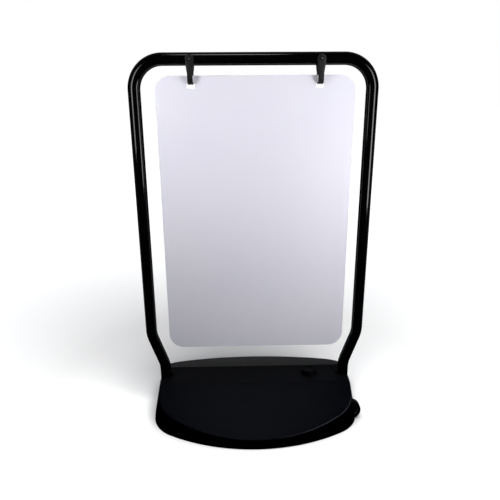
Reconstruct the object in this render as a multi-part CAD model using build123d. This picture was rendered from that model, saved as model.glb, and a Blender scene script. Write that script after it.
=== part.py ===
"""Swinging pavement sign.

A steel tube hoop stands in a hollow base that is filled with water, and a flat panel hangs
inside the hoop from two straps and swings with the wind. Two wheels in one end of the base
let it be tipped and rolled.

Millimetres. X is the width, Y the depth with the front at -Y, Z is up. The origin is the
middle of the base, on the ground. "Left" and "right" are as seen from the front.
"""
import os
from math import radians, tan

from build123d import *

# Panel, which everything else is built round
PANEL_WIDTH = 610.0
PANEL_HEIGHT = 915.0
PANEL_THICKNESS = 3.0
PANEL_CORNER_R = 50.0
PANEL_BASE_GAP = 114.2  # between the panel and the top of the base
PANEL_SIDE_GAP = 38.0  # between the panel's width and the tube on each side
SLOT_WIDTH = 26.0
SLOT_HEIGHT = 15.0
SLOT_CORNER_R = 2.5
SLOT_DROP = 23.0  # panel above each slot
SLOT_INSET = 109.0  # from the panel's edge to the middle of the slot
SWING_GAP = 0.3  # between the strap and the slot's round upper edge
HANGING_OFFSET = 5.5  # panel and straps hang this far to the right of the hoop's middle

# Hoop of bent tube
TUBE_OD = 38.0
TUBE_WALL = 1.6
TOP_BEND_R = 89.0  # all bend radii are to the tube's centre line
DRAW_IN = 41.5  # how far each leg draws in above the base
LEAN_ANGLE = 19.0  # from the vertical, where the legs draw in
LEAN_BEND_R = 110.0
LEAN_RISE = 167.0  # from the base's top to where the upper leg's line meets the leaning line

# Base, a hollow plastic tank
BASE_DEPTH = 540.0
BASE_HEIGHT = 112.0
BASE_END = 20.5  # how far the base reaches past the tube at each end
SIDE_BOW = 18.0  # how far the middle of a side stands out past its corners
FRONT_BOW = 112.0  # the same for the front and the rear
CORNER_R = 130.0
WALL_DRAFT = 11.0
STRIP_DEPTH = 106.0  # flat strip along the top, between the feet
SLOPE_FOOT_Z = 28.3  # where the top has sloped down to, in the middle of the front and the rear
SHOULDER_R = 20.0  # rounding of the strip's two ends
SHOULDER_EASE = 0.5  # the rounding starts this far outside the side wall
RIM_R = 6.0
RIDGE_R = 12.0
BASE_WALL = 4.0

# Feet in the base
SOCKET_FLOOR = 30.0  # height of the shelf that a leg stands on
SOCKET_GAP = 0.2  # radial
SHELF_THICKNESS = 6.0
PLUG_FLANGE = 2.0
PLUG_LENGTH = 25.0
PLUG_GAP = 0.1
FOOT_BOLT_R = 4.0
FOOT_BOLT_LENGTH = 30.0
FOOT_BOLT_FLATS = 13.0
FOOT_BOLT_HEAD = 5.2
FOOT_WASHER_R = 12.0
RECESS_GAP = 4.0  # round the foot washer
WASHER_THICKNESS = 1.6
THREAD_GAP = 0.05  # radial, threads are plain cylinders
HOLE_GAP = 0.25  # radial, bolts in clearance holes

# Screw through the inner side of each leg, just above the base
STOP_SCREW_R = 3.0
STOP_SCREW_GAP = 2.5  # between its flange and the base
STOP_SCREW_REACH = 14.0  # into the tube
STOP_FLANGE_R = 6.5
STOP_FLANGE_THICKNESS = 1.6
STOP_HEAD_FLATS = 10.0
STOP_HEAD_LENGTH = 6.4

# Filler neck and cap
FILLER_INSET = 123.5  # from the right foot to the middle of the neck
NECK_R = 20.0
NECK_WALL = 5.0
NECK_HEIGHT = 8.0
SEAL_THICKNESS = 2.0
SEAL_WIDTH = 4.0
SEAL_GAP = 0.1
CAP_SKIRT = 8.5  # how far the cap's lower edge reaches past the neck
CAP_CROWN = 2.5  # the same for its upper edge
CAP_HEIGHT = 16.5
CAP_RIM = 5.0  # width of the raised rim round the dished top
CAP_DISH_DEPTH = 3.0
CAP_LIFT_GAP = 0.3  # between the cap's lower edge and the strip
CAP_RUN_GAP = 0.08  # radial, cap on neck
CAP_GRIPS = 18
CAP_GRIP_R = 2.2
CAP_GRIP_DEPTH = 1.1  # how deep each grip cuts at the cap's lower edge
CAP_GRIP_START = 3.0  # height of plain skirt under the grips

# Wheels at the right end
WHEEL_R = 35.5
WHEEL_WIDTH = 22.0
WHEEL_INSET = 32.0  # from the base's end to the axle
WHEEL_LIFT = 1.5  # above the ground while the sign stands
WHEEL_BORE_GAP = 0.08
WHEEL_HUB_R = 10.0
WHEEL_RIM = 6.5
WHEEL_WEB = 6.0
WHEEL_RIBS = 6
WHEEL_RIB = 3.0
WHEEL_RIB_SET_BACK = 2.0
WHEEL_EDGE_R = 2.0
WELL_GAP = 3.0  # round the wheel
WELL_ROOF = 7.5  # least height of plastic over a well
WELL_CORNER = 43.0  # least distance from a wheel's middle to the base's corner
AXLE_R = 4.0
AXLE_END = 7.0  # how far an axle is held beyond each side of its wheel's well
AXLE_SEAT_GAP = 0.15
AXLE_END_GAP = 0.5
AXLE_WASHER_R = 8.0
WHEEL_SIDE_GAP = 0.2  # each side of each washer
NIB_R = 0.8  # ridges that snap over the axle
NIB_LENGTH = 6.0

# Straps and their bolts
STRAP_THICKNESS = 3.0
STRAP_GAP = 0.1  # between strap and tube
STRAP_DROP = 50.8  # from the tube's centre to the centre of the strap's lower bend
EYE_R = 13.0
EYE_TO_NECK = 26.0  # from the eye's centre down to where the strap starts to narrow
STRAP_NECK_WIDTH = 21.2  # strap's width there
EYE_TO_NARROW = 41.0  # from the eye's centre to where the strap has narrowed
STRAP_WIDTH = 16.6
HANGER_BOLT_R = 3.0
HANGER_HEAD_R = 6.0
HANGER_HEAD_HEIGHT = 3.6
HANGER_HEAD_ROUND = 2.9
HANGER_KEY_FLATS = 4.0
HANGER_KEY_DEPTH = 2.0
HANGER_WASHER_R = 6.5
HANGER_NUT_FLATS = 10.0
HANGER_NUT_THICKNESS = 5.0
BOLT_END = 2.0  # thread showing past the nut

# Widths that follow from the panel's
TUBE_R = TUBE_OD / 2
TUBE_BORE_R = TUBE_R - TUBE_WALL
LEG_X = PANEL_WIDTH / 2 + PANEL_SIDE_GAP + TUBE_R
FOOT_X = LEG_X - DRAW_IN
BASE_WIDTH = 2 * (FOOT_X + TUBE_R + BASE_END)
FILLER_X = FOOT_X - FILLER_INSET
WHEEL_X = BASE_WIDTH / 2 - WHEEL_INSET
HANGER_REACH = PANEL_WIDTH / 2 - SLOT_INSET
HANGER_XS = {"left": HANGING_OFFSET - HANGER_REACH, "right": HANGING_OFFSET + HANGER_REACH}
FOOT_XS = {"left": -FOOT_X, "right": FOOT_X}

# Heights, from the base up through the panel to the bar that it hangs from
STRAP_INSIDE = TUBE_R + STRAP_GAP
STRAP_OUTSIDE = STRAP_INSIDE + STRAP_THICKNESS
PANEL_TOP = BASE_HEIGHT + PANEL_BASE_GAP + PANEL_HEIGHT
SLOT_TOP = PANEL_TOP - SLOT_DROP
SWING_Z = SLOT_TOP + PANEL_THICKNESS / 2
STRAP_BEND_Z = SLOT_TOP - SWING_GAP + STRAP_INSIDE
BAR_Z = STRAP_BEND_Z + STRAP_DROP
LEAN_TOP = BASE_HEIGHT + LEAN_RISE
LEAN_BOTTOM = LEAN_TOP - DRAW_IN / tan(radians(LEAN_ANGLE))
TUBE_END_Z = SOCKET_FLOOR + PLUG_FLANGE
STOP_SCREW_Z = BASE_HEIGHT + STOP_SCREW_GAP + STOP_FLANGE_R
SHELF_UNDER = SOCKET_FLOOR - SHELF_THICKNESS
SEAL_BOTTOM = BASE_HEIGHT + NECK_HEIGHT + SEAL_GAP
SEAL_TOP = SEAL_BOTTOM + SEAL_THICKNESS

# Sockets, recesses and wheel wells
SOCKET_R = TUBE_R + SOCKET_GAP
RECESS_R = FOOT_WASHER_R + RECESS_GAP
CORNER_X = BASE_WIDTH / 2 - SIDE_BOW
CORNER_Y = BASE_DEPTH / 2 - FRONT_BOW
AXLE_Z = WHEEL_LIFT + WHEEL_R
AXLE_SEAT_R = AXLE_R + AXLE_SEAT_GAP
WELL_R = WHEEL_R + WELL_GAP
WELL_HALF_WIDTH = WHEEL_WIDTH / 2 + WASHER_THICKNESS + 2 * WHEEL_SIDE_GAP
AXLE_SEAT_HALF = WELL_HALF_WIDTH + AXLE_END
TOP_FALL = (BASE_HEIGHT - SLOPE_FOOT_Z) / ((BASE_DEPTH - STRIP_DEPTH) / 2)
ROOFED_Y = STRIP_DEPTH / 2 + (BASE_HEIGHT - AXLE_Z - WELL_R - WELL_ROOF) / TOP_FALL
WHEEL_Y = min(ROOFED_Y - WELL_HALF_WIDTH, CORNER_Y - WELL_CORNER)
WHEEL_YS = {"front": -WHEEL_Y, "rear": WHEEL_Y}


def cylinder(radius, length, axis="Z"):
    """A cylinder that starts at the origin and runs along the named axis."""
    planes = {"X": Plane.YZ, "Y": Plane.XZ.rotated((180, 0, 0)), "Z": Plane.XY}
    return extrude(planes[axis] * Circle(radius), length)


def between(x, y, z):
    """A block from three pairs of limits."""
    size = [pair[1] - pair[0] for pair in (x, y, z)]
    middle = [(pair[0] + pair[1]) / 2 for pair in (x, y, z)]
    return Pos(*middle) * Box(*size)


def hexagon(flats):
    """A hexagon by the distance across its flats."""
    return RegularPolygon(flats / 2, 6, major_radius=False)


# ---------------------------------------------------------------- base tank

def tank_plan():
    """Outline on the ground: bowed front, rear and sides with rounded corners."""
    corners = [(-CORNER_X, -CORNER_Y), (CORNER_X, -CORNER_Y), (CORNER_X, CORNER_Y), (-CORNER_X, CORNER_Y)]
    middles = [(0, -BASE_DEPTH / 2), (BASE_WIDTH / 2, 0), (0, BASE_DEPTH / 2), (-BASE_WIDTH / 2, 0)]
    arcs = [ThreePointArc(corners[i], middles[i], corners[(i + 1) % 4]) for i in range(4)]
    plan = make_face(Wire(arcs))
    return fillet(plan.vertices(), CORNER_R)


def tank_form(inset):
    """The tank's outer shape, or the same shape brought in by a wall."""
    plan = offset(tank_plan(), -inset) if inset else tank_plan()
    walls = extrude(plan, BASE_HEIGHT, taper=WALL_DRAFT)

    reach = BASE_DEPTH / 2 + BASE_WALL
    edge_z = BASE_HEIGHT - (reach - STRIP_DEPTH / 2) * TOP_FALL
    ridge = Polygon(
        (-reach, 0), (reach, 0), (reach, edge_z),
        (STRIP_DEPTH / 2, BASE_HEIGHT), (-STRIP_DEPTH / 2, BASE_HEIGHT), (-reach, edge_z),
        align=None,
    )
    ridge_prism = extrude(Plane.YZ * offset(ridge, -inset, kind=Kind.INTERSECTION), BASE_WIDTH, both=True)

    foot = BASE_WIDTH / 2 + SHOULDER_EASE
    head = foot - BASE_HEIGHT * tan(radians(WALL_DRAFT))
    ends = Polygon((-foot, 0), (foot, 0), (head, BASE_HEIGHT), (-head, BASE_HEIGHT), align=None)
    shoulders = [vertex for vertex in ends.vertices() if vertex.Y > BASE_HEIGHT / 2]
    ends = fillet(shoulders, SHOULDER_R)
    end_prism = extrude(Plane.XZ * offset(ends, -inset, kind=Kind.INTERSECTION), BASE_DEPTH, both=True)
    return walls & ridge_prism & end_prism


def is_wall(face):
    """True for the drafted faces that stand up from the ground."""
    box = face.bounding_box()
    return box.min.Z < RIM_R and box.size.Z > RIM_R


def rounded_tank():
    """The outer shape with its two ridges and its whole rim rounded."""
    form = tank_form(0)
    ridges = [
        edge for edge in form.edges()
        if edge.bounding_box().max.Z > BASE_HEIGHT - 1 and abs(edge.center().Y) > STRIP_DEPTH / 2 - 1
    ]
    form = fillet(ridges, RIDGE_R)
    rim = [
        edge for wall in form.faces().filter_by(is_wall)
        for edge in wall.edges() if edge.bounding_box().min.Z > RIM_R
    ]
    return fillet(rim, RIM_R)


def wheel_well(y, grow=0):
    """Space round one wheel, open to the ground and through the end wall, or the block that walls it."""
    radius = WELL_R + grow
    half_width = WELL_HALF_WIDTH + grow
    arch = Pos(WHEEL_X, y - half_width, AXLE_Z) * cylinder(radius, 2 * half_width, "Y")
    below = between(
        (WHEEL_X - radius, WHEEL_X + radius), (y - half_width, y + half_width), (-1, AXLE_Z)
    )
    return arch + below


def axle_seat(y, grow=0):
    """Groove in the underside that one axle snaps up into, or the block that walls it."""
    radius = AXLE_SEAT_R + grow
    half_length = AXLE_SEAT_HALF + grow
    top = Pos(WHEEL_X, y - half_length, AXLE_Z) * cylinder(radius, 2 * half_length, "Y")
    slot = between(
        (WHEEL_X - radius, WHEEL_X + radius), (y - half_length, y + half_length), (-1, AXLE_Z)
    )
    return top + slot


def axle_nibs(y):
    """Low ridges that narrow the groove under both ends of one axle."""
    nib = Pos(0, -NIB_LENGTH / 2, AXLE_Z - AXLE_R - NIB_R) * cylinder(NIB_R, NIB_LENGTH, "Y")
    out = WELL_HALF_WIDTH + AXLE_END / 2
    xs = (WHEEL_X - AXLE_SEAT_R, WHEEL_X + AXLE_SEAT_R)
    return [Pos(x, y + beside, 0) * nib for x in xs for beside in (-out, out)]


def base_tank():
    """One hollow moulding with sockets for the legs, wells for the wheels and a filler neck."""
    water = tank_form(BASE_WALL)
    solid = rounded_tank()
    for x in FOOT_XS.values():
        water -= Pos(x, 0, SHELF_UNDER) * cylinder(SOCKET_R + BASE_WALL, BASE_HEIGHT)
        water -= Pos(x, 0, 0) * cylinder(RECESS_R + BASE_WALL, SOCKET_FLOOR)
    for y in WHEEL_YS.values():
        water -= wheel_well(y, BASE_WALL)
        water -= axle_seat(y, BASE_WALL)

    solid += Pos(FILLER_X, 0, BASE_HEIGHT - BASE_WALL) * cylinder(NECK_R, NECK_HEIGHT + BASE_WALL)
    solid -= water
    for x in FOOT_XS.values():
        solid -= Pos(x, 0, SOCKET_FLOOR) * cylinder(SOCKET_R, BASE_HEIGHT)
        solid -= Pos(x, 0, -1) * cylinder(RECESS_R, SHELF_UNDER + 1)
        solid -= Pos(x, 0, SHELF_UNDER) * cylinder(FOOT_BOLT_R + HOLE_GAP, SHELF_THICKNESS)
    for y in WHEEL_YS.values():
        solid -= wheel_well(y)
        solid -= axle_seat(y)
        for nib in axle_nibs(y):
            solid += nib
    under_top = BASE_HEIGHT - 2 * BASE_WALL
    solid -= Pos(FILLER_X, 0, under_top) * cylinder(NECK_R - NECK_WALL, 2 * BASE_WALL + NECK_HEIGHT)
    return solid


# ---------------------------------------------------------------- hoop and feet

def frame_tube():
    """One bent tube, from the shelf in one socket over the top and down to the other."""
    corners = [
        (-FOOT_X, 0, TUBE_END_Z), (-FOOT_X, 0, LEAN_BOTTOM), (-LEG_X, 0, LEAN_TOP), (-LEG_X, 0, BAR_Z),
        (LEG_X, 0, BAR_Z), (LEG_X, 0, LEAN_TOP), (FOOT_X, 0, LEAN_BOTTOM), (FOOT_X, 0, TUBE_END_Z),
    ]
    radii = [LEAN_BEND_R, LEAN_BEND_R, TOP_BEND_R, TOP_BEND_R, LEAN_BEND_R, LEAN_BEND_R]
    path = FilletPolyline(*corners, radius=radii)
    start = Plane(origin=corners[0], z_dir=(0, 0, 1))
    tube = sweep(start * Circle(TUBE_R), path=path) - sweep(start * Circle(TUBE_BORE_R), path=path)
    for x in HANGER_XS.values():
        tube -= Pos(x, -TUBE_OD, BAR_Z) * cylinder(HANGER_BOLT_R + HOLE_GAP, 2 * TUBE_OD, "Y")
    for x in (-FOOT_X, FOOT_X - TUBE_OD):
        tube -= Pos(x, 0, STOP_SCREW_Z) * cylinder(STOP_SCREW_R + THREAD_GAP, TUBE_OD, "X")
    return tube


def leg_plug(x):
    """Plastic plug in the tube's end, threaded for the bolt that holds the leg down."""
    flange = Pos(x, 0, SOCKET_FLOOR) * cylinder(TUBE_R, PLUG_FLANGE)
    body = Pos(x, 0, SOCKET_FLOOR) * cylinder(TUBE_BORE_R - PLUG_GAP, PLUG_FLANGE + PLUG_LENGTH)
    bore = Pos(x, 0, SOCKET_FLOOR) * cylinder(FOOT_BOLT_R + THREAD_GAP, PLUG_FLANGE + PLUG_LENGTH)
    return flange + body - bore


def foot_bolt(x):
    """Hexagon bolt from under the base, through the shelf and up into the leg's plug."""
    under_head = SHELF_UNDER - WASHER_THICKNESS
    head = extrude(Pos(x, 0, under_head - FOOT_BOLT_HEAD) * hexagon(FOOT_BOLT_FLATS), FOOT_BOLT_HEAD)
    shank = Pos(x, 0, under_head) * cylinder(FOOT_BOLT_R, FOOT_BOLT_LENGTH)
    return head + shank


def foot_washer(x):
    """Wide washer that spreads the foot bolt's load on the shelf."""
    at = Pos(x, 0, SHELF_UNDER - WASHER_THICKNESS)
    return at * cylinder(FOOT_WASHER_R, WASHER_THICKNESS) - at * cylinder(
        FOOT_BOLT_R + HOLE_GAP, WASHER_THICKNESS
    )


def stop_screw(x):
    """Flanged hexagon screw in a leg's inner side. It lands on the base if the leg sinks."""
    length = STOP_FLANGE_THICKNESS + STOP_HEAD_LENGTH
    flange = Pos(TUBE_R) * cylinder(STOP_FLANGE_R, STOP_FLANGE_THICKNESS, "X")
    head = extrude(Plane.YZ.offset(TUBE_R) * hexagon(STOP_HEAD_FLATS), length)
    shank = Pos(TUBE_R - STOP_SCREW_REACH) * cylinder(STOP_SCREW_R, STOP_SCREW_REACH, "X")
    screw = flange + head + shank
    if x > 0:
        screw = Rot(0, 0, 180) * screw
    return Pos(x, 0, STOP_SCREW_Z) * screw


# ---------------------------------------------------------------- filler cap

def filler_cap():
    """Screw cap with a dished top and finger grips round its side."""
    bottom = BASE_HEIGHT + CAP_LIFT_GAP
    top = bottom + CAP_HEIGHT
    bore_r = NECK_R + CAP_RUN_GAP
    skirt_r = NECK_R + CAP_SKIRT
    crown_r = NECK_R + CAP_CROWN
    dish_r = crown_r - CAP_RIM
    half_section = make_face(Polyline(
        (bore_r, bottom), (skirt_r, bottom), (crown_r, top), (dish_r, top),
        (dish_r - 1, top - CAP_DISH_DEPTH), (0, top - CAP_DISH_DEPTH), (0, SEAL_TOP),
        (bore_r, SEAL_TOP), (bore_r, bottom),
    ))
    cap = revolve(Plane.XZ * half_section, Axis.Z)
    grip = Pos(skirt_r + CAP_GRIP_R - CAP_GRIP_DEPTH, 0, bottom + CAP_GRIP_START)
    for i in range(CAP_GRIPS):
        cap -= Rot(0, 0, 360 / CAP_GRIPS * i) * grip * cylinder(CAP_GRIP_R, CAP_HEIGHT)
    return Pos(FILLER_X) * cap


def cap_seal():
    """Flat rubber ring between the neck and the cap."""
    at = Pos(FILLER_X, 0, SEAL_BOTTOM)
    outer = NECK_R - SEAL_GAP
    return at * cylinder(outer, SEAL_THICKNESS) - at * cylinder(outer - SEAL_WIDTH, SEAL_THICKNESS)


# ---------------------------------------------------------------- wheels

def wheel(y):
    """One moulded wheel: hub, web with ribs, and a wide rim."""
    half = WHEEL_WIDTH / 2
    rim_r = WHEEL_R - WHEEL_RIM
    rim = cylinder(WHEEL_R, WHEEL_WIDTH, "Y")
    rim = fillet(rim.edges(), WHEEL_EDGE_R) - cylinder(rim_r, WHEEL_WIDTH, "Y")
    web = Pos(0, half - WHEEL_WEB / 2, 0) * cylinder(rim_r, WHEEL_WEB, "Y")
    body = rim + web + cylinder(WHEEL_HUB_R, WHEEL_WIDTH, "Y")
    rib = between(
        (WHEEL_HUB_R - 1, rim_r + 1), (WHEEL_RIB_SET_BACK, WHEEL_WIDTH - WHEEL_RIB_SET_BACK),
        (-WHEEL_RIB / 2, WHEEL_RIB / 2),
    )
    for i in range(WHEEL_RIBS):
        body += Rot(0, 360 / WHEEL_RIBS * i, 0) * rib
    body -= cylinder(AXLE_R + WHEEL_BORE_GAP, WHEEL_WIDTH, "Y")
    return Pos(WHEEL_X, y - half, AXLE_Z) * body


def wheel_axle(y):
    """Short steel rod, held in the base at both sides of one wheel."""
    half = AXLE_SEAT_HALF - AXLE_END_GAP
    return Pos(WHEEL_X, y - half, AXLE_Z) * cylinder(AXLE_R, 2 * half, "Y")


def axle_washers():
    """Four washers, one each side of each wheel."""
    ring = cylinder(AXLE_WASHER_R, WASHER_THICKNESS, "Y")
    ring -= cylinder(AXLE_R + WHEEL_BORE_GAP, WASHER_THICKNESS, "Y")
    beside = WHEEL_WIDTH / 2 + WHEEL_SIDE_GAP
    places = []
    for y in WHEEL_YS.values():
        places += [y + beside, y - beside - WASHER_THICKNESS]
    return Compound([Pos(WHEEL_X, y, AXLE_Z) * ring.solid() for y in places])


# ---------------------------------------------------------------- straps and their bolts

def hanger(x):
    """Flexible strap bent to a U under the tube, with an eye at each end for the bolt."""
    bend = Pos(0, STRAP_BEND_Z) * (Circle(STRAP_OUTSIDE) - Circle(STRAP_INSIDE))
    leaf_length = BAR_Z + EYE_R - STRAP_BEND_Z
    leaf = Rectangle(STRAP_THICKNESS, leaf_length, align=(Align.MIN, Align.MIN))
    above = Rectangle(4 * STRAP_OUTSIDE, 2 * STRAP_OUTSIDE, align=(Align.CENTER, Align.MIN))
    side = bend - Pos(0, STRAP_BEND_Z) * above
    side += Pos(STRAP_INSIDE, STRAP_BEND_Z) * leaf
    side += Pos(-STRAP_OUTSIDE, STRAP_BEND_Z) * leaf
    band = extrude(Plane.YZ * side, EYE_R, both=True)

    eye = Pos(0, BAR_Z) * Circle(EYE_R)
    neck_z = BAR_Z - EYE_TO_NECK
    narrow_z = BAR_Z - EYE_TO_NARROW
    end_z = STRAP_BEND_Z - STRAP_OUTSIDE - 1
    tail = Polygon(
        (-STRAP_NECK_WIDTH / 2, neck_z), (-STRAP_WIDTH / 2, narrow_z), (-STRAP_WIDTH / 2, end_z),
        (STRAP_WIDTH / 2, end_z), (STRAP_WIDTH / 2, narrow_z), (STRAP_NECK_WIDTH / 2, neck_z),
        align=None,
    )
    neck = Pos(0, neck_z) * Rectangle(STRAP_NECK_WIDTH, 1, align=(Align.CENTER, Align.MIN))
    front = make_hull((eye + neck).edges()) + tail
    strap = band & extrude(Plane.XZ * front, 2 * STRAP_OUTSIDE, both=True)
    strap -= Pos(0, -2 * STRAP_OUTSIDE, BAR_Z) * cylinder(HANGER_BOLT_R + HOLE_GAP, 4 * STRAP_OUTSIDE, "Y")
    return Pos(x) * strap


def hanger_bolt(x):
    """Button-head bolt right through the tube and both ends of the strap."""
    head = cylinder(HANGER_HEAD_R, HANGER_HEAD_HEIGHT, "Y")
    head = fillet(head.edges().sort_by(Axis.Y)[0], HANGER_HEAD_ROUND)
    key = extrude(Plane.XZ * hexagon(HANGER_KEY_FLATS), -HANGER_KEY_DEPTH)
    head = Pos(0, -STRAP_OUTSIDE - HANGER_HEAD_HEIGHT, 0) * (head - key)
    end = STRAP_OUTSIDE + WASHER_THICKNESS + HANGER_NUT_THICKNESS + BOLT_END
    shank = Pos(0, -STRAP_OUTSIDE, 0) * cylinder(HANGER_BOLT_R, STRAP_OUTSIDE + end, "Y")
    return Pos(x, 0, BAR_Z) * (head + shank)


def hanger_washer(x):
    """Washer between the strap's rear end and the nut."""
    ring = cylinder(HANGER_WASHER_R, WASHER_THICKNESS, "Y")
    ring -= cylinder(HANGER_BOLT_R + HOLE_GAP, WASHER_THICKNESS, "Y")
    return Pos(x, STRAP_OUTSIDE, BAR_Z) * ring


def hanger_nut(x):
    """Hexagon nut behind the tube."""
    nut = extrude(Plane.XZ * hexagon(HANGER_NUT_FLATS), -HANGER_NUT_THICKNESS)
    nut -= cylinder(HANGER_BOLT_R + THREAD_GAP, HANGER_NUT_THICKNESS, "Y")
    return Pos(x, STRAP_OUTSIDE + WASHER_THICKNESS, BAR_Z) * nut


# ---------------------------------------------------------------- panel

def sign_panel():
    """Flat sheet with rounded corners and two slots. Each slot's upper edge is fully rounded."""
    middle_z = PANEL_TOP - PANEL_HEIGHT / 2
    outline = Pos(HANGING_OFFSET, middle_z) * RectangleRounded(PANEL_WIDTH, PANEL_HEIGHT, PANEL_CORNER_R)
    panel = extrude(Plane.XZ * outline, PANEL_THICKNESS / 2, both=True)
    for x in HANGER_XS.values():
        slot = between(
            (x - SLOT_WIDTH / 2, x + SLOT_WIDTH / 2), (-PANEL_THICKNESS, PANEL_THICKNESS),
            (SLOT_TOP - SLOT_HEIGHT, SWING_Z),
        )
        lower = [edge for edge in slot.edges().filter_by(Axis.Y) if edge.center().Z < SWING_Z - 1]
        slot = fillet(lower, SLOT_CORNER_R)
        slot -= Pos(x - SLOT_WIDTH / 2, 0, SWING_Z) * cylinder(PANEL_THICKNESS / 2, SLOT_WIDTH, "X")
        panel -= slot
    return panel


# ---------------------------------------------------------------- write every piece

def pieces():
    """Every piece by name, each where it sits in the finished sign."""
    made = {
        "base_tank": base_tank(),
        "frame_tube": frame_tube(),
        "filler_cap": filler_cap(),
        "cap_seal": cap_seal(),
        "sign_panel": sign_panel(),
        "axle_washers": axle_washers(),
    }
    for end, y in WHEEL_YS.items():
        made["wheel_" + end] = wheel(y)
        made["wheel_axle_" + end] = wheel_axle(y)
    for side, x in FOOT_XS.items():
        made["leg_plug_" + side] = leg_plug(x)
        made["foot_bolt_" + side] = foot_bolt(x)
        made["foot_washer_" + side] = foot_washer(x)
        made["stop_screw_" + side] = stop_screw(x)
    for side, x in HANGER_XS.items():
        made["hanger_" + side] = hanger(x)
        made["hanger_bolt_" + side] = hanger_bolt(x)
        made["hanger_washer_" + side] = hanger_washer(x)
        made["hanger_nut_" + side] = hanger_nut(x)
    return made


os.makedirs("parts", exist_ok=True)
for name, piece in pieces().items():
    export_step(piece, os.path.join("parts", name + ".step"))
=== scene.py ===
"""Looks of a swinging pavement sign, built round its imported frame."""
from math import atan2, cos, pi, radians, sin

import bmesh
import bpy
from mathutils import Matrix, Vector


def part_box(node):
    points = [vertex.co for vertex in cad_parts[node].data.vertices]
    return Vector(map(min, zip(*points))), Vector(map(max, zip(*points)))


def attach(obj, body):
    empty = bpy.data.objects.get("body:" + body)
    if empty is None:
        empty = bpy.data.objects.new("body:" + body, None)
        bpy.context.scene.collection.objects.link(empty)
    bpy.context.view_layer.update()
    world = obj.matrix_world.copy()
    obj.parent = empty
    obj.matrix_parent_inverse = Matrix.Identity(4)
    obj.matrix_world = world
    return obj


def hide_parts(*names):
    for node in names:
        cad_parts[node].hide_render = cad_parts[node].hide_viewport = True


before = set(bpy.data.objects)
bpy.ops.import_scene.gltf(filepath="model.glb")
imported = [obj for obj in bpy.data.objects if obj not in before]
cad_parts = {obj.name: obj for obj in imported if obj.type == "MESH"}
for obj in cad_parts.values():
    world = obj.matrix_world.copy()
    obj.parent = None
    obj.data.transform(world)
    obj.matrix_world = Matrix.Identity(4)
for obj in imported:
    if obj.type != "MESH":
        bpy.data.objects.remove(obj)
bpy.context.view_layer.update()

MM = 0.001
scene = bpy.context.scene
scene.view_settings.view_transform = "Standard"

# ---------------------------------------------------------------- camera
# It stands level with the top of the panel, in front and a hand's width to the left, and looks
# down at the base.
CAMERA_PLACE = (-0.05294, -1.63634, 1.13083)
CAMERA_LENS = 37.06  # millimetres, on a sensor 36 wide
CAMERA_HEADING = 1.352  # degrees to the right of straight ahead
CAMERA_DIP = 18.395
CAMERA_ROLL = -0.342

camera = bpy.data.objects.new("camera", bpy.data.cameras.new("camera"))
camera.data.sensor_width = 36.0
camera.data.lens = CAMERA_LENS
camera.matrix_world = (
    Matrix.Translation(CAMERA_PLACE)
    @ Matrix.Rotation(radians(-CAMERA_HEADING), 4, "Z")
    @ Matrix.Rotation(radians(90 - CAMERA_DIP), 4, "X")
    @ Matrix.Rotation(radians(CAMERA_ROLL), 4, "Z")
)
scene.collection.objects.link(camera)
scene.camera = camera


# ---------------------------------------------------------------- studio
# A pale paper floor that runs out to a white backdrop. In reflections both are dark in front and at
# the sides and a dim grey behind, so that black plastic and paint stay black between the lamps.
def hex_colour(code, alpha=1.0):
    """A linear colour from an sRGB hex value."""
    channels = [int(code[i:i + 2], 16) / 255 for i in (1, 3, 5)]
    linear = [c / 12.92 if c <= 0.04045 else ((c + 0.055) / 1.055) ** 2.4 for c in channels]
    return (*linear, alpha)


def add_node(tree, kind, inputs=(), **settings):
    """Adds a node. settings are its properties, inputs its sockets: a value or another node's output."""
    made = tree.nodes.new(kind)
    for name, value in settings.items():
        setattr(made, name, value)
    for name, value in dict(inputs).items():
        if isinstance(value, bpy.types.NodeSocket):
            tree.links.new(value, made.inputs[name])
        else:
            made.inputs[name].default_value = value
    return made


BACKDROP_REFLECTED = 0.16
REFLECTED_FROM_ABOVE = (0.2, 0.45)  # upward part of a direction where the backdrop starts and is full
REFLECTED_FROM_BEHIND = (0.0, 0.3)  # the same for its backward part
world = bpy.data.worlds.new("studio")
scene.world = world
world.use_nodes = True
tree = world.node_tree
tree.nodes.clear()
ray = add_node(tree, "ShaderNodeLightPath")
direction = add_node(tree, "ShaderNodeTexCoord").outputs["Generated"]
heading = add_node(tree, "ShaderNodeSeparateXYZ", {0: direction})
above = add_node(tree, "ShaderNodeMapRange", {
    "Value": heading.outputs["Z"], "From Min": REFLECTED_FROM_ABOVE[0],
    "From Max": REFLECTED_FROM_ABOVE[1], "To Max": BACKDROP_REFLECTED,
})
behind = add_node(tree, "ShaderNodeMapRange", {
    "Value": heading.outputs["Y"], "From Min": REFLECTED_FROM_BEHIND[0],
    "From Max": REFLECTED_FROM_BEHIND[1], "To Max": above.outputs[0],
})
dim = add_node(tree, "ShaderNodeBackground", {"Color": hex_colour("#EEF2FF"), "Strength": behind.outputs[0]})
seen = add_node(tree, "ShaderNodeBackground", {"Color": hex_colour("#FFFFFF"), "Strength": 1.0})
both = add_node(tree, "ShaderNodeMixShader", {
    0: ray.outputs["Is Camera Ray"], 1: dim.outputs[0], 2: seen.outputs[0],
})
add_node(tree, "ShaderNodeOutputWorld", {"Surface": both.outputs[0]})

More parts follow.
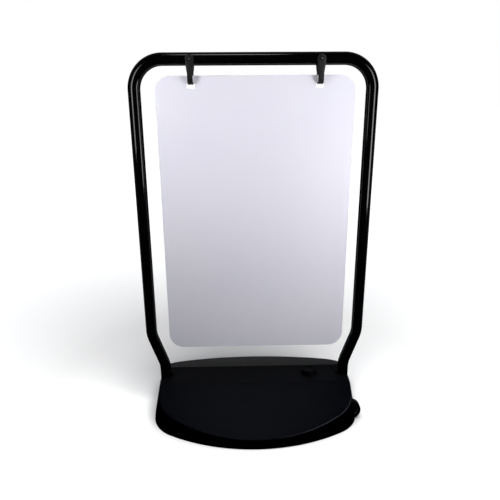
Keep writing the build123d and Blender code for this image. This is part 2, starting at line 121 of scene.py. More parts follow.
FLOOR_SIZE = 40.0
FLOOR_GLOW = ((0.8, 0.13), (1.8, 0.6), (3.5, 1.0))  # distance from the base's middle, brightness
FLOOR_REFLECTED = 0.28
FLOOR_REFLECTED_STARTS = (0.2, 0.35)  # metres behind the base's middle
FLOOR_REFLECTED_ENDS = (0.9, 1.4)
CONTACT_SHADE = 0.055  # metres that the shade under an edge reaches
floor_mesh = bpy.data.meshes.new("paper_floor")
half = FLOOR_SIZE / 2
floor_corners = [(-half, -half, 0), (half, -half, 0), (half, half, 0), (-half, half, 0)]
floor_mesh.from_pydata(floor_corners, [], [(0, 1, 2, 3)])
floor = bpy.data.objects.new("paper_floor", floor_mesh)
scene.collection.objects.link(floor)
paper = bpy.data.materials.new("white seamless paper")
paper.use_nodes = True
tree = paper.node_tree
tree.nodes.clear()
ray = add_node(tree, "ShaderNodeLightPath")
place = add_node(tree, "ShaderNodeTexCoord").outputs["Object"]
grain = add_node(tree, "ShaderNodeTexNoise", {"Vector": place, "Scale": 300.0, "Detail": 3.0})
pale = add_node(tree, "ShaderNodeMapRange", {"Value": grain.outputs["Fac"], "To Min": 0.93, "To Max": 0.97})
distance = add_node(tree, "ShaderNodeVectorMath", {0: place}, operation="LENGTH")
reach = add_node(tree, "ShaderNodeMath", {
    0: distance.outputs["Value"], 1: FLOOR_GLOW[-1][0],
}, operation="DIVIDE")
glow = add_node(tree, "ShaderNodeValToRGB", {"Fac": reach.outputs[0]})
for at, (metres, brightness) in enumerate(FLOOR_GLOW):
    stops = glow.color_ramp.elements
    stop = stops[at] if at < 2 else stops.new(1.0)
    stop.position = metres / FLOOR_GLOW[-1][0]
    stop.color = (brightness, brightness, brightness, 1.0)
shade = add_node(tree, "ShaderNodeAmbientOcclusion", {"Distance": CONTACT_SHADE}, samples=16)
lit = add_node(tree, "ShaderNodeBsdfDiffuse", {"Color": pale.outputs["Result"]})
lift = add_node(tree, "ShaderNodeEmission", {
    "Color": hex_colour("#FDFEFF"), "Strength": glow.outputs["Color"],
})
bright = add_node(tree, "ShaderNodeAddShader", {0: lit.outputs[0], 1: lift.outputs[0]})
black = add_node(tree, "ShaderNodeBsdfDiffuse", {"Color": hex_colour("#000000")})
shaded = add_node(tree, "ShaderNodeMixShader", {
    0: shade.outputs["AO"], 1: black.outputs[0], 2: bright.outputs[0],
})
way_back = add_node(tree, "ShaderNodeSeparateXYZ", {0: place})
behind = add_node(tree, "ShaderNodeMapRange", {
    "Value": way_back.outputs["Y"], "From Min": FLOOR_REFLECTED_STARTS[0],
    "From Max": FLOOR_REFLECTED_STARTS[1], "To Max": FLOOR_REFLECTED,
})
near = add_node(tree, "ShaderNodeMapRange", {
    "Value": way_back.outputs["Y"], "From Min": FLOOR_REFLECTED_ENDS[0],
    "From Max": FLOOR_REFLECTED_ENDS[1], "To Min": behind.outputs[0], "To Max": 0.0,
})
dark = add_node(tree, "ShaderNodeEmission", {
    "Color": hex_colour("#FDFEFF"), "Strength": near.outputs["Result"],
})
both = add_node(tree, "ShaderNodeMixShader", {
    0: ray.outputs["Is Camera Ray"], 1: dark.outputs[0], 2: shaded.outputs[0],
})
add_node(tree, "ShaderNodeOutputMaterial", {"Surface": both.outputs[0]})
floor_mesh.materials.append(paper)

# ---------------------------------------------------------------- lamps
# Two tall strip boxes, one each side in front, and a small round one over the bar draw the bright
# lines down each leg and along the bar. Two fills light the panel and don't show in reflections, and
# a wide box high in front lights only the paper.
LAMPS = {
    # place, aim, size, watts, spread in degrees, shows in reflections, lights only the floor
    "strip_left": ((-1.0, -0.9, 1.2), (-0.36, 0.0, 1.15), (0.38, 0.85), 0.93, 60, True, False),
    "strip_right": ((1.04, -0.8, 1.05), (0.3, 0.0, 1.25), (0.38, 1.1), 4.3, 110, True, False),
    "over_bar": ((-0.1, -0.43, 2.7), (0.0, 0.0, 1.19), (0.75, 0.28), 4.0, 180, True, False),
    "fill_left": ((-1.0, -0.9, 1.2), (-0.1, -0.05, 1.2), (0.38, 0.85), 5.6, 180, False, False),
    "fill_low": ((0.9, -1.3, 0.7), (0.0, 0.0, 0.6), (0.6, 0.6), 9.8, 180, False, False),
    "paper_wash": ((0.4, -1.2, 3.0), (0.0, 0.3, 0.0), (2.4, 1.6), 110.0, 180, False, True),
}
floor_only = bpy.data.collections.new("floor only")
floor_only.objects.link(floor)
for name, (place, aim, size, watts, spread, in_reflections, on_floor_only) in LAMPS.items():
    data = bpy.data.lights.new(name, "AREA")
    data.shape = "ELLIPSE" if name == "over_bar" else "RECTANGLE"
    data.size, data.size_y = size
    data.energy = watts
    data.spread = radians(spread)
    lamp = bpy.data.objects.new(name, data)
    lamp.location = place
    lamp.rotation_euler = (Vector(aim) - Vector(place)).to_track_quat("-Z", "Y").to_euler()
    lamp.visible_glossy = in_reflections
    lamp.visible_camera = False
    if on_floor_only:
        lamp.light_linking.receiver_collection = floor_only
    scene.collection.objects.link(lamp)


# ---------------------------------------------------------------- base tank
# A hollow water tank, moulded in one from black polyethylene with a fine satin grain, its wide faces sunk by
# a hair. The level strip has a painted sheen and is lighter than the slopes. The upright walls are painted
# darker as painted shade and reflect less. A painted highlight runs along the rim on the right, towards the
# wheels, and painted shade dims reflections in corners and next to parts.
def new_material(name, **inputs):
    """A material with one Principled shader. Returns it with its tree, shader and object coordinates."""
    material = bpy.data.materials.new(name)
    material.use_nodes = True
    tree = material.node_tree
    tree.nodes.clear()
    sockets = {name.replace("_", " "): value for name, value in inputs.items()}
    shader = add_node(tree, "ShaderNodeBsdfPrincipled", sockets)
    add_node(tree, "ShaderNodeOutputMaterial", {"Surface": shader.outputs[0]})
    place = add_node(tree, "ShaderNodeTexCoord").outputs["Object"]
    return material, tree, shader, place


def shape_from(node, name, sharp_angle=30.0):
    """A piece with a CAD node's shape: its triangles joined, smooth where it curves and crisp at edges."""
    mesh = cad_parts[node].data.copy()
    mesh.name = name
    shape = bmesh.new()
    shape.from_mesh(mesh)
    bmesh.ops.remove_doubles(shape, verts=shape.verts, dist=0.002 * MM)
    for face in shape.faces:
        face.smooth = True
        face.material_index = 0
    for edge in shape.edges:
        edge.smooth = len(edge.link_faces) == 2 and edge.calc_face_angle(0) < radians(sharp_angle)
    shape.to_mesh(mesh)
    shape.free()
    mesh.materials.clear()
    piece = bpy.data.objects.new(name, mesh)
    scene.collection.objects.link(piece)
    return piece


def weigh_normals(piece):
    """Keeps flat faces flat next to rounded edges."""
    made = piece.modifiers.new("weighted normals", "WEIGHTED_NORMAL")
    made.keep_sharp = True
    made.weight = 100


def finish_piece(piece, material, body, *nodes):
    """Gives a piece its material and its body, and hides the CAD nodes it stands for."""
    piece.data.materials.clear()
    piece.data.materials.append(material)
    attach(piece, body)
    if nodes:
        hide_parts(*nodes)


RIM_HIGHLIGHT_FACING = 0.66  # how far the painted highlight on the rim faces upwards: 0 is a wall, 1 is level
RIM_HIGHLIGHT_SPREAD = (0.16, 0.05)  # on the same scale, where the painted highlight starts and is full
SHEEN_FACING = (0.95, 0.99)  # where the painted sheen on level faces starts and is full
SHADED_WALL_FACING = (0.35, 0.7)  # from the walls' painted shade, near black, to the top's tone
RIM_HIGHLIGHT_ALONG = (50 * MM, 250 * MM)  # where the painted highlight starts and is full, from the base's middle towards the wheels
CORNER_SHADE = 20 * MM  # how far the painted shade that dims reflections reaches out from corners
GRAIN_SIZE = 1.1 * MM  # the real grain is 0.2 mm, drawn coarser so that it shows
tank_plastic, tree, shader, place = new_material(
    "moulded black polyethylene", Base_Color=hex_colour("#0B0C10"), Roughness=0.42, IOR=1.51,
)
grain = add_node(tree, "ShaderNodeTexNoise", {"Vector": place, "Scale": 1 / GRAIN_SIZE, "Detail": 2.0})
sink = add_node(tree, "ShaderNodeTexNoise", {"Vector": place, "Scale": 9.0, "Detail": 1.0})
scuff = add_node(tree, "ShaderNodeTexNoise", {
    "Vector": place, "Scale": 34.0, "Detail": 6.0, "Roughness": 0.6,
})
tone = add_node(tree, "ShaderNodeValToRGB", {"Fac": scuff.outputs["Fac"]})
tone.color_ramp.elements[0].color = hex_colour("#03050B")
tone.color_ramp.elements[0].position = 0.35
tone.color_ramp.elements[1].color = hex_colour("#050811")
tone.color_ramp.elements[1].position = 0.75
normal = add_node(tree, "ShaderNodeNewGeometry").outputs["Normal"]
facing = add_node(tree, "ShaderNodeSeparateXYZ", {0: normal})
# Painted sheen: faces that lie level are painted lighter (#111114) than the slopes.
level = add_node(tree, "ShaderNodeMapRange", {
    "Value": facing.outputs["Z"], "From Min": SHEEN_FACING[0], "From Max": SHEEN_FACING[1],
})
top_sheen = add_node(tree, "ShaderNodeMix", {
    0: level.outputs["Result"], 6: tone.outputs["Color"], 7: hex_colour("#111114"),
}, data_type="RGBA")
# Painted shade: upright walls are painted near black (#010102), fading to the top's tone as faces turn
# upward.
upward = add_node(tree, "ShaderNodeMapRange", {
    "Value": facing.outputs["Z"], "From Min": SHADED_WALL_FACING[0], "From Max": SHADED_WALL_FACING[1],
})
wall = add_node(tree, "ShaderNodeMix", {
    0: upward.outputs["Result"], 6: hex_colour("#010102"), 7: top_sheen.outputs[2],
}, data_type="RGBA")
# Painted highlight: a pale band (#4A4C54) along the rounded rim, painted on the right side only, towards the
# wheels.
off_rim_highlight = add_node(tree, "ShaderNodeMath", {0: facing.outputs["Z"], 1: RIM_HIGHLIGHT_FACING}, operation="SUBTRACT")
off_rim_highlight = add_node(tree, "ShaderNodeMath", {0: off_rim_highlight.outputs[0]}, operation="ABSOLUTE")
edge = add_node(tree, "ShaderNodeMapRange", {
    "Value": off_rim_highlight.outputs[0], "From Min": RIM_HIGHLIGHT_SPREAD[0], "From Max": RIM_HIGHLIGHT_SPREAD[1],
})
along = add_node(tree, "ShaderNodeSeparateXYZ", {0: place})
wheel_end = add_node(tree, "ShaderNodeMapRange", {
    "Value": along.outputs["X"], "From Min": RIM_HIGHLIGHT_ALONG[0], "From Max": RIM_HIGHLIGHT_ALONG[1],
})
highlight_mask = add_node(tree, "ShaderNodeMath", {
    0: edge.outputs[0], 1: wheel_end.outputs[0],
}, operation="MULTIPLY")
highlighted = add_node(tree, "ShaderNodeMix", {
    0: highlight_mask.outputs[0], 6: wall.outputs[2], 7: hex_colour("#4A4C54"),
}, data_type="RGBA")
tree.links.new(highlighted.outputs[2], shader.inputs["Base Color"])
# Painted shade: reflections are dimmed on the walls and, by ambient occlusion, in corners, by the cap and
# the legs.
corner = add_node(tree, "ShaderNodeAmbientOcclusion", {"Distance": CORNER_SHADE}, samples=8)
shaded_reflection = add_node(tree, "ShaderNodeMapRange", {
    "Value": upward.outputs["Result"], "To Min": 0.03, "To Max": 0.1,
})
shaded_reflection = add_node(tree, "ShaderNodeMath", {
    0: shaded_reflection.outputs[0], 1: corner.outputs["AO"],
}, operation="MULTIPLY")
tree.links.new(shaded_reflection.outputs[0], shader.inputs["Specular IOR Level"])
gloss = add_node(tree, "ShaderNodeMapRange", {"Value": scuff.outputs["Fac"], "To Min": 0.36, "To Max": 0.48})
tree.links.new(gloss.outputs["Result"], shader.inputs["Roughness"])
wave = add_node(tree, "ShaderNodeBump", {
    "Height": sink.outputs["Fac"], "Strength": 0.25, "Distance": 4 * MM,
})
rough = add_node(tree, "ShaderNodeBump", {
    "Height": grain.outputs["Fac"], "Strength": 0.18, "Distance": 0.25 * MM, "Normal": wave.outputs[0],
})
tree.links.new(rough.outputs[0], shader.inputs["Normal"])

tank = shape_from("base_tank", "base_tank_shell")
weigh_normals(tank)
finish_piece(tank, tank_plastic, "base", "base_tank")

# ---------------------------------------------------------------- hoop
# One length of 38 mm steel tube, bent cold on round formers and powder coated gloss black. The coat
# lies like a thin skin with a faint orange peel.
hoop_low, hoop_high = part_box("frame_tube")
TUBE_R = 19.0 * MM
TUBE_WALL = 1.6 * MM
TOP_BEND_R = 89.0 * MM
LEAN_BEND_R = 110.0 * MM
DRAW_IN = 41.5 * MM
LEAN_TOP = 279.0 * MM
LEAN_BOTTOM = 158.475 * MM
ARC_POINTS = 40
ROUND_POINTS = 64

tube_paint, tree, shader, place = new_material(
    "gloss black powder coat", Base_Color=hex_colour("#030304"), Roughness=0.1, IOR=1.5,
    Specular_IOR_Level=0.32,
)
peel = add_node(tree, "ShaderNodeTexNoise", {"Vector": place, "Scale": 420.0, "Detail": 1.0})
haze = add_node(tree, "ShaderNodeTexNoise", {"Vector": place, "Scale": 22.0, "Detail": 5.0})
gloss = add_node(tree, "ShaderNodeMapRange", {"Value": haze.outputs["Fac"], "To Min": 0.08, "To Max": 0.13})
tree.links.new(gloss.outputs["Result"], shader.inputs["Roughness"])
skin = add_node(tree, "ShaderNodeBump", {
    "Height": peel.outputs["Fac"], "Strength": 0.03, "Distance": 0.3 * MM,
})
tree.links.new(skin.outputs[0], shader.inputs["Normal"])

leg_x = hoop_high[0] - TUBE_R
bar_z = hoop_high[2] - TUBE_R
foot_x = leg_x - DRAW_IN
right_half = [(leg_x, bar_z), (leg_x, LEAN_TOP), (foot_x, LEAN_BOTTOM), (foot_x, hoop_low[2])]
route = [(-x, z) for x, z in reversed(right_half)] + right_half
line = bpy.data.curves.new("hoop", "CURVE")
line.dimensions = "3D"
run = line.splines.new("POLY")
run.points.add(len(route) - 1)
for point, (x, z) in zip(run.points, route):
    point.co = (x, 0, z, 1)

bender = bpy.data.node_groups.new("bend a tube", "GeometryNodeTree")
face = bender.interface
face.new_socket("Geometry", in_out="INPUT", socket_type="NodeSocketGeometry")
for label in ("Tube radius", "Top bend radius", "Lean bend radius", "Bend change height"):
    face.new_socket(label, in_out="INPUT", socket_type="NodeSocketFloat")
face.new_socket("Paint", in_out="INPUT", socket_type="NodeSocketMaterial")
face.new_socket("Geometry", in_out="OUTPUT", socket_type="NodeSocketGeometry")
given = add_node(bender, "NodeGroupInput")
position = add_node(bender, "GeometryNodeInputPosition")
height = add_node(bender, "ShaderNodeSeparateXYZ", {0: position.outputs[0]})
upper = add_node(bender, "ShaderNodeMath", {
    0: height.outputs["Z"], 1: given.outputs["Bend change height"],
}, operation="GREATER_THAN")
radius = add_node(bender, "GeometryNodeSwitch", {
    "Switch": upper.outputs[0], "False": given.outputs["Lean bend radius"],
    "True": given.outputs["Top bend radius"],
}, input_type="FLOAT")
bends = add_node(bender, "GeometryNodeFilletCurve", {
    "Curve": given.outputs["Geometry"], "Count": ARC_POINTS, "Radius": radius.outputs[0],
}, mode="POLY")
ring = add_node(bender, "GeometryNodeCurvePrimitiveCircle", {
    "Resolution": ROUND_POINTS, "Radius": given.outputs["Tube radius"],
})
tube = add_node(bender, "GeometryNodeCurveToMesh", {
    "Curve": bends.outputs[0], "Profile Curve": ring.outputs[0],
})
smooth = add_node(bender, "GeometryNodeSetShadeSmooth", {"Geometry": tube.outputs[0]})
painted = add_node(bender, "GeometryNodeSetMaterial", {
    "Geometry": smooth.outputs[0], "Material": given.outputs["Paint"],
})
real = add_node(bender, "GeometryNodeRealizeInstances", {"Geometry": painted.outputs[0]})
add_node(bender, "NodeGroupOutput", {"Geometry": real.outputs[0]})


def made_by_nodes(source, group, values, name):
    """Runs a node group on an object once and returns the result as a plain mesh object."""
    modifier = source.modifiers.new(group.name, "NODES")
    modifier.node_group = group
    for item in group.interface.items_tree:
        if item.in_out == "INPUT" and item.name in values:
            modifier[item.identifier] = values[item.name]
    scene.collection.objects.link(source)
    ready = source.evaluated_get(bpy.context.evaluated_depsgraph_get())
    mesh = bpy.data.meshes.new_from_object(ready, depsgraph=bpy.context.evaluated_depsgraph_get())
    bpy.data.objects.remove(source)
    mesh.name = name
    piece = bpy.data.objects.new(name, mesh)
    scene.collection.objects.link(piece)
    return piece


hoop = made_by_nodes(bpy.data.objects.new("hoop line", line), bender, {
    "Tube radius": TUBE_R, "Top bend radius": TOP_BEND_R, "Lean bend radius": LEAN_BEND_R,
    "Bend change height": bar_z - TUBE_R, "Paint": tube_paint,
}, "hoop_tube")
wall = hoop.modifiers.new("wall", "SOLIDIFY")
wall.thickness = TUBE_WALL
wall.offset = -1
finish_piece(hoop, tube_paint, "base", "frame_tube")

# ---------------------------------------------------------------- panel
# A flat white sheet, 3 mm thick, that a printed sign is stuck to. Its face has a satin lacquer over a
# very faint rolled texture, and the cut edge is eased.
panel_low, panel_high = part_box("sign_panel")
PANEL_CORNER_R = 50.0 * MM
SLOT_SIZE = (26.0 * MM, 15.0 * MM)
SLOT_CORNER_R = 2.5 * MM
SLOT_DROP = 23.0 * MM
SLOT_INSET = 109.0 * MM
SLOT_WEAR = 0.4 * MM  # taken off the upper edge of each slot by its strap
EASE = 0.35 * MM

panel_face, tree, shader, place = new_material(
    "satin white lacquered sheet", Base_Color=hex_colour("#E8E7F3"), Roughness=0.34, IOR=1.48,
)
rolled = add_node(tree, "ShaderNodeMapping", {"Vector": place, "Scale": (1.0, 1.0, 0.12)})
streak = add_node(tree, "ShaderNodeTexNoise", {"Vector": rolled.outputs[0], "Scale": 260.0, "Detail": 3.0})
cloud = add_node(tree, "ShaderNodeTexNoise", {"Vector": place, "Scale": 3.0, "Detail": 3.0})
tone = add_node(tree, "ShaderNodeValToRGB", {"Fac": cloud.outputs["Fac"]})
tone.color_ramp.elements[0].color = hex_colour("#E6E5F2")
tone.color_ramp.elements[0].position = 0.3
tone.color_ramp.elements[1].color = hex_colour("#EAE9F4")
tone.color_ramp.elements[1].position = 0.7
tree.links.new(tone.outputs["Color"], shader.inputs["Base Color"])
gloss = add_node(tree, "ShaderNodeMapRange", {"Value": streak.outputs["Fac"], "To Min": 0.3, "To Max": 0.4})
tree.links.new(gloss.outputs["Result"], shader.inputs["Roughness"])
skin = add_node(tree, "ShaderNodeBump", {
    "Height": streak.outputs["Fac"], "Strength": 0.05, "Distance": 0.2 * MM,
})
tree.links.new(skin.outputs[0], shader.inputs["Normal"])


def round_rectangle(centre, size, corner_r, steps=16):
    """Points round a rectangle with rounded corners, anticlockwise."""
    points = []
    for turn, (sx, sz) in enumerate(((1, 1), (-1, 1), (-1, -1), (1, -1))):
        middle_x = centre[0] + sx * (size[0] / 2 - corner_r)
        middle_z = centre[1] + sz * (size[1] / 2 - corner_r)
        for i in range(steps + 1):
            angle = pi / 2 * (turn + i / steps)
            points.append((middle_x + corner_r * cos(angle), middle_z + corner_r * sin(angle)))
    return points


def cut_sheet(name, outlines, thickness, ease):
    """A sheet cut to closed outlines, holes included, with eased edges. It lies in X and Y."""
    drawing = bpy.data.curves.new(name, "CURVE")
    drawing.dimensions = "2D"
    drawing.fill_mode = "BOTH"
    drawing.extrude = thickness / 2 - ease
    drawing.bevel_depth = ease
    drawing.bevel_resolution = 2
    drawing.offset = -ease
    for outline in outlines:
        spline = drawing.splines.new("POLY")
        spline.points.add(len(outline) - 1)
        for point, (x, y) in zip(spline.points, outline):
            point.co = (x, y, 0, 1)
        spline.use_cyclic_u = True
    source = bpy.data.objects.new(name, drawing)
    scene.collection.objects.link(source)
    ready = source.evaluated_get(bpy.context.evaluated_depsgraph_get())
    mesh = bpy.data.meshes.new_from_object(ready)
    bpy.data.objects.remove(source)
    mesh.name = name
    shape = bmesh.new()
    shape.from_mesh(mesh)
    bmesh.ops.remove_doubles(shape, verts=shape.verts, dist=0.001 * MM)
    bmesh.ops.recalc_face_normals(shape, faces=shape.faces)
    shape.to_mesh(mesh)
    shape.free()
    return mesh


panel_middle = ((panel_low[0] + panel_high[0]) / 2, (panel_low[2] + panel_high[2]) / 2)
panel_size = (panel_high[0] - panel_low[0], panel_high[2] - panel_low[2])
slot_z = panel_high[2] - SLOT_DROP - SLOT_SIZE[1] / 2
slot_xs = (panel_low[0] + SLOT_INSET, panel_high[0] - SLOT_INSET)
outlines = [round_rectangle(panel_middle, panel_size, PANEL_CORNER_R, 32)]
worn_size = (SLOT_SIZE[0], SLOT_SIZE[1] + SLOT_WEAR)
for x in slot_xs:
    outlines.append(round_rectangle((x, slot_z + SLOT_WEAR / 2), worn_size, SLOT_CORNER_R, 8)[::-1])
panel_mesh = cut_sheet("hanging_panel", outlines, panel_high[1] - panel_low[1], EASE)
panel_mesh.transform(Matrix.Rotation(radians(90), 4, "X"))
panel = bpy.data.objects.new("hanging_panel", panel_mesh)
scene.collection.objects.link(panel)
finish_piece(panel, panel_face, "panel", "sign_panel")

# ---------------------------------------------------------------- straps
# Two flexible straps, die-cut from 3 mm black PVC sheet and bent double round the bar. Each has an
# eye at both ends for its bolt and a narrow waist that passes through the panel's slot.
STRAP_THICKNESS = 3.0 * MM
STRAP_GAP = 0.1 * MM
STRAP_DROP = 50.8 * MM
EYE_R = 13.0 * MM
EYE_TO_NECK = 26.0 * MM
STRAP_NECK = 21.2 * MM
EYE_TO_NARROW = 41.0 * MM
STRAP_WIDTH = 16.6 * MM
STRAP_EASE = 0.5 * MM
STRAP_HOLE_R = 3.25 * MM
BEND_CUTS = 44

strap_pvc, tree, shader, place = new_material(
    "matte black flexible PVC", Base_Color=hex_colour("#0F0F12"), Roughness=0.55, IOR=1.53,
)
grain = add_node(tree, "ShaderNodeTexNoise", {"Vector": place, "Scale": 900.0, "Detail": 3.0})
mottle = add_node(tree, "ShaderNodeTexNoise", {"Vector": place, "Scale": 120.0, "Detail": 4.0})
tone = add_node(tree, "ShaderNodeValToRGB", {"Fac": mottle.outputs["Fac"]})
tone.color_ramp.elements[0].color = hex_colour("#070708")
tone.color_ramp.elements[1].color = hex_colour("#0E0E11")
tree.links.new(tone.outputs["Color"], shader.inputs["Base Color"])
gloss = add_node(tree, "ShaderNodeMapRange", {
    "Value": mottle.outputs["Fac"], "To Min": 0.46, "To Max": 0.62,
})
tree.links.new(gloss.outputs["Result"], shader.inputs["Roughness"])
skin = add_node(tree, "ShaderNodeBump", {
    "Height": grain.outputs["Fac"], "Strength": 0.25, "Distance": 0.15 * MM,
})
tree.links.new(skin.outputs[0], shader.inputs["Normal"])

strap_mid_r = TUBE_R + STRAP_GAP + STRAP_THICKNESS / 2
bend_z = bar_z - STRAP_DROP
quarter_bend = strap_mid_r * pi / 2
eye_v = quarter_bend + STRAP_DROP


def strap_outline(steps=24):
    """The strap's flat pattern: X across it, Y along it from eye to eye."""
    lean = atan2(EYE_R - STRAP_NECK / 2, EYE_TO_NECK)
    end = []
    for i in range(steps + 1):
        angle = -lean + (pi + 2 * lean) * i / steps
        end.append((EYE_R * cos(angle), eye_v + EYE_R * sin(angle)))
    side = [(STRAP_WIDTH / 2, 0), (STRAP_WIDTH / 2, eye_v - EYE_TO_NARROW)]
    side.append((STRAP_NECK / 2, eye_v - EYE_TO_NECK))
    upper = side + end + [(-x, y) for x, y in reversed(side)]
    return upper + [(-x, -y) for x, y in upper if y > 0]


def ring_points(centre, radius, steps=32):
    """Points round a circle, clockwise, for a hole."""
    angles = [-2 * pi * i / steps for i in range(steps)]
    return [(centre[0] + radius * cos(a), centre[1] + radius * sin(a)) for a in angles]


def bent_strap(name, x):
    """The flat pattern, cut across where it bends and wrapped into its U."""
    holes = [ring_points((0, v), STRAP_HOLE_R) for v in (-eye_v, eye_v)]
    mesh = cut_sheet(name, [strap_outline()] + holes, STRAP_THICKNESS, STRAP_EASE)
    shape = bmesh.new()
    shape.from_mesh(mesh)
    for i in range(BEND_CUTS + 1):
        v = quarter_bend * (2 * i / BEND_CUTS - 1)
        everything = shape.verts[:] + shape.edges[:] + shape.faces[:]
        bmesh.ops.bisect_plane(shape, geom=everything, plane_co=(0, v, 0), plane_no=(0, 1, 0))
    for vert in shape.verts:
        u, v, h = vert.co
        reach = strap_mid_r + h
        if abs(v) <= quarter_bend:
            angle = v / strap_mid_r
            y, z = reach * sin(angle), bend_z - reach * cos(angle)
        else:
            y, z = reach * (1 if v > 0 else -1), bend_z + abs(v) - quarter_bend
        vert.co = (x + u, y, z)
    bmesh.ops.recalc_face_normals(shape, faces=shape.faces)
    for face in shape.faces:
        face.smooth = True
    for edge in shape.edges:
        edge.smooth = edge.calc_face_angle(0) < radians(35)
    shape.to_mesh(mesh)
    shape.free()
    piece = bpy.data.objects.new(name, mesh)
    scene.collection.objects.link(piece)
    return piece


for side, x in zip(("left", "right"), slot_xs):
    strap = bent_strap("strap_" + side, x)
    finish_piece(strap, strap_pvc, "base", "hanger_" + side)

# ---------------------------------------------------------------- strap bolts
# M6 button-head bolts with nuts and washers, steel with a black oxide finish, with a painted highlight on
# each head round the key socket. Each goes through both eyes of a strap and the bar between them.
KEY_HIGHLIGHT_R = 2.8 * MM  # painted highlight in and round the key socket
black_oxide, tree, shader, place = new_material(
    "black oxide steel", Base_Color=hex_colour("#0A0A0C"), Metallic=0.3, Roughness=0.4,
)
spots = add_node(tree, "ShaderNodeTexNoise", {"Vector": place, "Scale": 700.0, "Detail": 4.0})
tone = add_node(tree, "ShaderNodeValToRGB", {"Fac": spots.outputs["Fac"]})
tone.color_ramp.elements[0].color = hex_colour("#060607")
tone.color_ramp.elements[1].color = hex_colour("#141416")
where = add_node(tree, "ShaderNodeSeparateXYZ", {0: place})
across = add_node(tree, "ShaderNodeMath", {0: where.outputs["X"], 1: sum(slot_xs) / 2}, operation="SUBTRACT")
nearest = add_node(tree, "ShaderNodeMath", {0: across.outputs[0]}, operation="ABSOLUTE")
beside = add_node(tree, "ShaderNodeMath", {
    0: nearest.outputs[0], 1: (max(slot_xs) - min(slot_xs)) / 2,
}, operation="SUBTRACT")
above = add_node(tree, "ShaderNodeMath", {0: where.outputs["Z"], 1: bar_z}, operation="SUBTRACT")
from_axis = add_node(tree, "ShaderNodeCombineXYZ", {"X": beside.outputs[0], "Z": above.outputs[0]})
out = add_node(tree, "ShaderNodeVectorMath", {0: from_axis.outputs[0]}, operation="LENGTH")
# Painted highlight: a pale disc (#6E6E72) round each bolt's key socket.
key_highlight = add_node(tree, "ShaderNodeMapRange", {
    "Value": out.outputs["Value"], "From Min": KEY_HIGHLIGHT_R, "From Max": KEY_HIGHLIGHT_R - 0.6 * MM,
})
highlighted = add_node(tree, "ShaderNodeMix", {
    0: key_highlight.outputs["Result"], 6: tone.outputs["Color"], 7: hex_colour("#6E6E72"),
}, data_type="RGBA")
tree.links.new(highlighted.outputs[2], shader.inputs["Base Color"])
gloss = add_node(tree, "ShaderNodeMapRange", {"Value": spots.outputs["Fac"], "To Min": 0.3, "To Max": 0.5})
tree.links.new(gloss.outputs["Result"], shader.inputs["Roughness"])

for side in ("left", "right"):
    for part in ("hanger_bolt_", "hanger_washer_", "hanger_nut_", "stop_screw_"):
        piece = shape_from(part + side, part + side + "_steel")
        weigh_normals(piece)
        finish_piece(piece, black_oxide, "base", part + side)

# ---------------------------------------------------------------- filler cap
# A screw cap of black polypropylene over the filler neck, with finger grips round its side, a
# dished top and a flat rubber ring inside.
cap_plastic, tree, shader, place = new_material(
    "moulded black polypropylene", Base_Color=hex_colour("#030304"), Roughness=0.36, IOR=1.49,
    Specular_IOR_Level=0.2,
)
grain = add_node(tree, "ShaderNodeTexNoise", {"Vector": place, "Scale": 1300.0, "Detail": 2.0})
gloss = add_node(tree, "ShaderNodeMapRange", {"Value": grain.outputs["Fac"], "To Min": 0.3, "To Max": 0.42})
tree.links.new(gloss.outputs["Result"], shader.inputs["Roughness"])
skin = add_node(tree, "ShaderNodeBump", {
    "Height": grain.outputs["Fac"], "Strength": 0.15, "Distance": 0.1 * MM,
})
tree.links.new(skin.outputs[0], shader.inputs["Normal"])

cap = shape_from("filler_cap", "filler_cap_moulding")
weigh_normals(cap)
finish_piece(cap, cap_plastic, "cap", "filler_cap")

soft_black, tree, shader, place = new_material(
    "black nitrile rubber", Base_Color=hex_colour("#0D0D0E"), Roughness=0.7, IOR=1.52,
)
bloom = add_node(tree, "ShaderNodeTexNoise", {"Vector": place, "Scale": 400.0, "Detail": 4.0})
tone = add_node(tree, "ShaderNodeValToRGB", {"Fac": bloom.outputs["Fac"]})
tone.color_ramp.elements[0].color = hex_colour("#0B0B0C")
tone.color_ramp.elements[1].color = hex_colour("#17171A")
tree.links.new(tone.outputs["Color"], shader.inputs["Base Color"])
seal = shape_from("cap_seal", "cap_seal_ring")
weigh_normals(seal)
finish_piece(seal, soft_black, "seal", "cap_seal")

# ---------------------------------------------------------------- wheels
# Two solid wheels of black nylon with a ribbed web, on short zinc-plated rods that snap into grooves under
# the base, with a washer on each side. A painted highlight runs round each wheel near its rim, broken up by
# noise.
RING_HIGHLIGHT_R = 25.5 * MM
RING_HIGHLIGHT_WIDTH = 2.0 * MM
axle_low, axle_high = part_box("wheel_axle_front")
wheel_nylon, tree, shader, place = new_material(
    "moulded black nylon", Base_Color=hex_colour("#040405"), Roughness=0.4, IOR=1.53,
    Specular_IOR_Level=0.25,
)
where = add_node(tree, "ShaderNodeSeparateXYZ", {0: place})
along = add_node(tree, "ShaderNodeMath", {
    0: where.outputs["X"], 1: (axle_low[0] + axle_high[0]) / 2,
}, operation="SUBTRACT")
above = add_node(tree, "ShaderNodeMath", {
    0: where.outputs["Z"], 1: (axle_low[2] + axle_high[2]) / 2,
}, operation="SUBTRACT")
from_axle = add_node(tree, "ShaderNodeCombineXYZ", {"X": along.outputs[0], "Z": above.outputs[0]})
out = add_node(tree, "ShaderNodeVectorMath", {0: from_axle.outputs[0]}, operation="LENGTH")
# Painted highlight: a pale ring (#5A5A60) round each wheel near its rim, broken up by noise.
off_ring_highlight = add_node(tree, "ShaderNodeMath", {0: out.outputs["Value"], 1: RING_HIGHLIGHT_R}, operation="SUBTRACT")
off_ring_highlight = add_node(tree, "ShaderNodeMath", {0: off_ring_highlight.outputs[0]}, operation="ABSOLUTE")
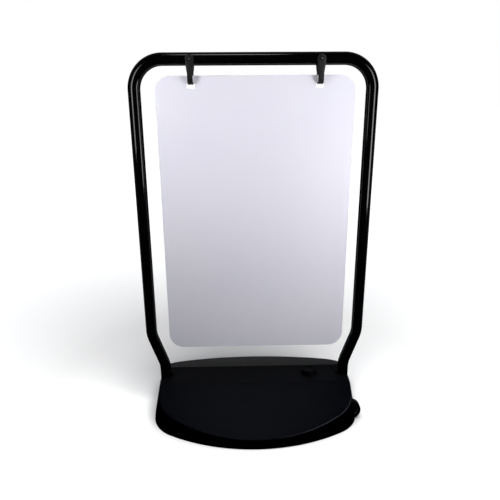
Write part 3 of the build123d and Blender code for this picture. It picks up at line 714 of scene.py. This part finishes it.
ring = add_node(tree, "ShaderNodeMapRange", {
    "Value": off_ring_highlight.outputs[0], "From Min": RING_HIGHLIGHT_WIDTH, "From Max": 0.0,
})
speckle = add_node(tree, "ShaderNodeTexNoise", {"Vector": place, "Scale": 260.0, "Detail": 5.0})
highlight_mask = add_node(tree, "ShaderNodeMath", {
    0: ring.outputs["Result"], 1: speckle.outputs["Fac"],
}, operation="MULTIPLY")
highlighted = add_node(tree, "ShaderNodeMix", {
    0: highlight_mask.outputs[0], 6: hex_colour("#040405"), 7: hex_colour("#5A5A60"),
}, data_type="RGBA")
tree.links.new(highlighted.outputs[2], shader.inputs["Base Color"])
gloss = add_node(tree, "ShaderNodeMapRange", {"Value": speckle.outputs["Fac"], "To Min": 0.34, "To Max": 0.5})
tree.links.new(gloss.outputs["Result"], shader.inputs["Roughness"])
for end in ("front", "rear"):
    wheel = shape_from("wheel_" + end, "wheel_" + end + "_nylon")
    weigh_normals(wheel)
    finish_piece(wheel, wheel_nylon, end + "_wheel", "wheel_" + end)

zinc, tree, shader, place = new_material(
    "bright zinc plate", Base_Color=hex_colour("#A9ABAE"), Metallic=1.0, Roughness=0.32,
)
crystals = add_node(tree, "ShaderNodeTexVoronoi", {"Vector": place, "Scale": 500.0})
tone = add_node(tree, "ShaderNodeValToRGB", {"Fac": crystals.outputs["Distance"]})
tone.color_ramp.elements[0].color = hex_colour("#B4B6B9")
tone.color_ramp.elements[1].color = hex_colour("#909296")
tree.links.new(tone.outputs["Color"], shader.inputs["Base Color"])

zinc_nodes = ["axle_washers", "wheel_axle_front", "wheel_axle_rear"]
zinc_nodes += [part + side for part in ("foot_bolt_", "foot_washer_") for side in ("left", "right")]
for node in zinc_nodes:
    piece = shape_from(node, node + "_zinc")
    weigh_normals(piece)
    finish_piece(piece, zinc, "base", node)

# ---------------------------------------------------------------- leg plugs
# A ribbed plastic plug with a thread, pressed into each end of the tube for the foot bolt.
for side in ("left", "right"):
    plug = shape_from("leg_plug_" + side, "leg_plug_" + side + "_plastic")
    weigh_normals(plug)
    finish_piece(plug, cap_plastic, "base", "leg_plug_" + side)
